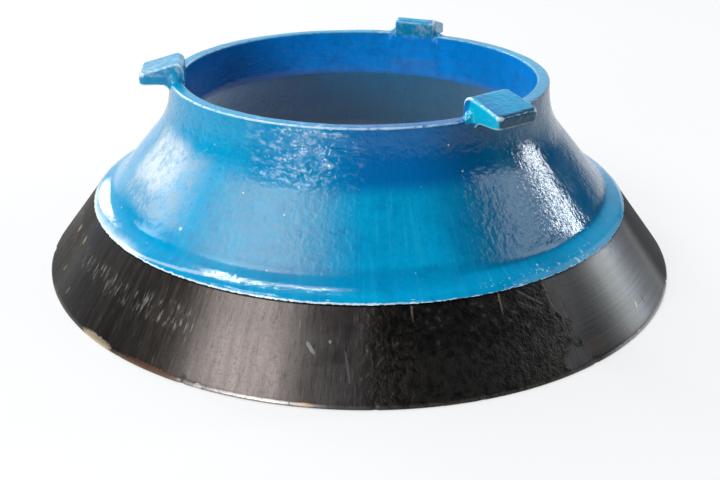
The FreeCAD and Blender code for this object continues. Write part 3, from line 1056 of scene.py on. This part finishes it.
def floor_material():
    """A pale matte floor that shows as near white and keeps the shadow."""
    material = bpy.data.materials.new("pale_floor")
    material.use_nodes = True
    n = Nodes(material.node_tree)
    matte = n.node("ShaderNodeBsdfDiffuse", {"Color": (0.27, 0.27, 0.27)}).outputs[0]
    rays = n.node("ShaderNodeLightPath", {}).outputs
    place = n.node("ShaderNodeTexCoord", {}).outputs["Object"]
    away = n.node("ShaderNodeVectorMath", {0: place}, operation="LENGTH").outputs["Value"]
    shown = n.times(rays["Is Camera Ray"], n.fade(away, GLOW_NEAR, GLOW_FAR, GLOW, FAR_GLOW))
    mirrored = n.times(n.either(rays["Is Glossy Ray"], rays["Is Transmission Ray"]),
                       n.fade(away, GLOW_NEAR, GLOW_FAR, GLOW, FAR_MIRRORED_GLOW))
    strength = n.either(shown, mirrored)
    glow = n.node("ShaderNodeEmission", {"Color": (1, 1, 1), "Strength": strength})
    both = n.node("ShaderNodeAddShader", {0: matte, 1: glow.outputs[0]}).outputs[0]
    n.node("ShaderNodeOutputMaterial", {"Surface": both})
    return material


# The floor's radius, and the low wall that it sweeps up into: radius and height.
FLOOR_RADIUS = 30.0
FLOOR_SIDES = 128
WALL_RADIUS, WALL_HEIGHT = 34.0, 1.6
FLOOR_GAP = 0.0002
SWEEP_STEPS = 8


def make_floor():
    """A wide round floor under the casting, swept up at its far edge."""
    mesh = bmesh.new()
    bmesh.ops.create_circle(mesh, cap_ends=True, segments=FLOOR_SIDES, radius=FLOOR_RADIUS)
    rim = [edge for edge in mesh.edges if edge.is_boundary]
    for step in range(1, SWEEP_STEPS + 1):
        turn = math.pi / 2 * step / SWEEP_STEPS
        across = FLOOR_RADIUS + (WALL_RADIUS - FLOOR_RADIUS) * math.sin(turn)
        height = WALL_HEIGHT * (1 - math.cos(turn))
        grown = bmesh.ops.extrude_edge_only(mesh, edges=rim)["geom"]
        for vertex in grown:
            if isinstance(vertex, bmesh.types.BMVert):
                spread = across / math.hypot(vertex.co.x, vertex.co.y)
                vertex.co = Vector((vertex.co.x * spread, vertex.co.y * spread, height))
        rim = [edge for edge in grown if isinstance(edge, bmesh.types.BMEdge) and edge.is_boundary]
    floor = solid_object("floor", mesh)
    floor.data.transform(Matrix.Translation((0, 0, -FLOOR_GAP)))
    floor.data.materials.append(floor_material())


COOL_WHITE = (0.97, 0.99, 1)

# Lamps: name, azimuth, elevation, width, height and lean towards a higher azimuth, all as angles
# in degrees seen from the casting, then distance, radiance and colour.
LAMPS = [
    ("key", 219, 45, 42, 24, 0, 10, 8.4, (1, 0.98, 0.95)),
    ("window", 163, 23, 18, 13.5, 0, 10, 5, COOL_WHITE),
    ("tall", 132, 42, 3.5, 38, 17, 10, 24, COOL_WHITE),
    ("foot", 127, 18, 5, 22, 17, 10, 26, COOL_WHITE),
    ("tail", 133, 67, 3.5, 24, -31, 10, 36, COOL_WHITE),
    ("strip", 20, 15, 4.5, 24, 30, 10, 34, (0.9, 0.96, 1)),
    ("panel", 1, 32, 34, 16, 0, 10, 4, (0.88, 0.94, 1)),
    ("glint", 241, 15, 10, 7, 0, 10, 18, (1, 1, 1)),
    ("low", 243, 1, 10, 5.6, 0, 2.6, 60, COOL_WHITE),
]
# These join end to end, so they keep square ends. The others are ovals.
SQUARE_LAMPS = ("tall", "foot", "tail")
# Middle of the casting, which the lamps face.
LAMP_TARGET = Vector((0, 0, 0.2))


def make_lamps():
    """Soft lamps round the casting, each facing its middle."""
    for name, azimuth, elevation, wide, high, lean, reach, radiance, colour in LAMPS:
        data = bpy.data.lights.new(name, "AREA")
        square = name in SQUARE_LAMPS
        data.shape = "RECTANGLE" if square else "ELLIPSE"
        data.size = 2 * reach * math.tan(math.radians(wide / 2))
        data.size_y = 2 * reach * math.tan(math.radians(high / 2))
        data.energy = radiance * math.pi * data.size * data.size_y * (1 if square else math.pi / 4)
        data.color = colour
        lamp = bpy.data.objects.new(name, data)
        back = direction(azimuth, elevation)
        lamp.location = LAMP_TARGET + back * reach
        lamp.rotation_mode = "QUATERNION"
        turn = Quaternion((0, 0, 1), math.radians(-lean))
        lamp.rotation_quaternion = back.to_track_quat("Z", "Y") @ turn
        lamp.visible_camera = False
        bpy.context.scene.collection.objects.link(lamp)


def make_world():
    """A dim room, faintly lit low down on the left and brightly behind the casting."""
    world = bpy.data.worlds.new("room")
    bpy.context.scene.world = world
    world.use_nodes = True
    n = Nodes(world.node_tree)
    ray = n.node("ShaderNodeTexCoord", {}).outputs["Generated"]
    _, _, height = n.split(ray)
    left = n.fade(n.dot(ray, direction(165, 0)), -0.1, 0.6)
    low = n.fade(height, 0.02, 0.3, 1, 0)
    light = n.tint(n.times(left, low), (0.02, 0.035, 0.09), (0.08, 0.1, 0.13))
    behind = n.fade(n.dot(ray, direction(95, 25)), 0.6, 0.95)
    light = n.tint(behind, light, (0.8, 0.9, 0.95))
    background = n.node("ShaderNodeBackground", {"Color": light, "Strength": 1})
    n.node("ShaderNodeOutputWorld", {"Surface": background.outputs[0]})


# Camera, fitted to the photograph's outlines.
CAMERA_PLACE = (0.0, -1.71697, 0.80048)
CAMERA_YAW, CAMERA_PITCH, CAMERA_ROLL = -0.0327, 0.4421, -0.0021
PHOTO_WIDTH = 720
FOCAL_PIXELS = 896.11
CENTRE_PIXEL = 330.0
SENSOR = 36.0


def make_camera():
    """The photograph's viewpoint."""
    data = bpy.data.cameras.new("camera")
    data.sensor_width = SENSOR
    data.lens = FOCAL_PIXELS / PHOTO_WIDTH * SENSOR
    data.shift_x = (PHOTO_WIDTH / 2 - CENTRE_PIXEL) / PHOTO_WIDTH
    ahead = Vector((math.sin(CAMERA_YAW) * math.cos(CAMERA_PITCH),
                    math.cos(CAMERA_YAW) * math.cos(CAMERA_PITCH), -math.sin(CAMERA_PITCH)))
    level = Vector((math.cos(CAMERA_YAW), -math.sin(CAMERA_YAW), 0))
    up = level.cross(ahead)
    right = level * math.cos(CAMERA_ROLL) + up * math.sin(CAMERA_ROLL)
    above = up * math.cos(CAMERA_ROLL) - level * math.sin(CAMERA_ROLL)
    turn = Matrix((right, above, -ahead)).transposed()
    camera = bpy.data.objects.new("camera", data)
    camera.matrix_world = Matrix.Translation(CAMERA_PLACE) @ turn.to_4x4()
    bpy.context.scene.collection.objects.link(camera)
    bpy.context.scene.camera = camera


make_camera()
casting = make_casting()
casting.data.materials.append(casting_material())
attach(casting, "root")
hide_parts("concave")
make_floor()
make_lamps()
make_world()
bpy.context.scene.view_settings.view_transform = "Standard"
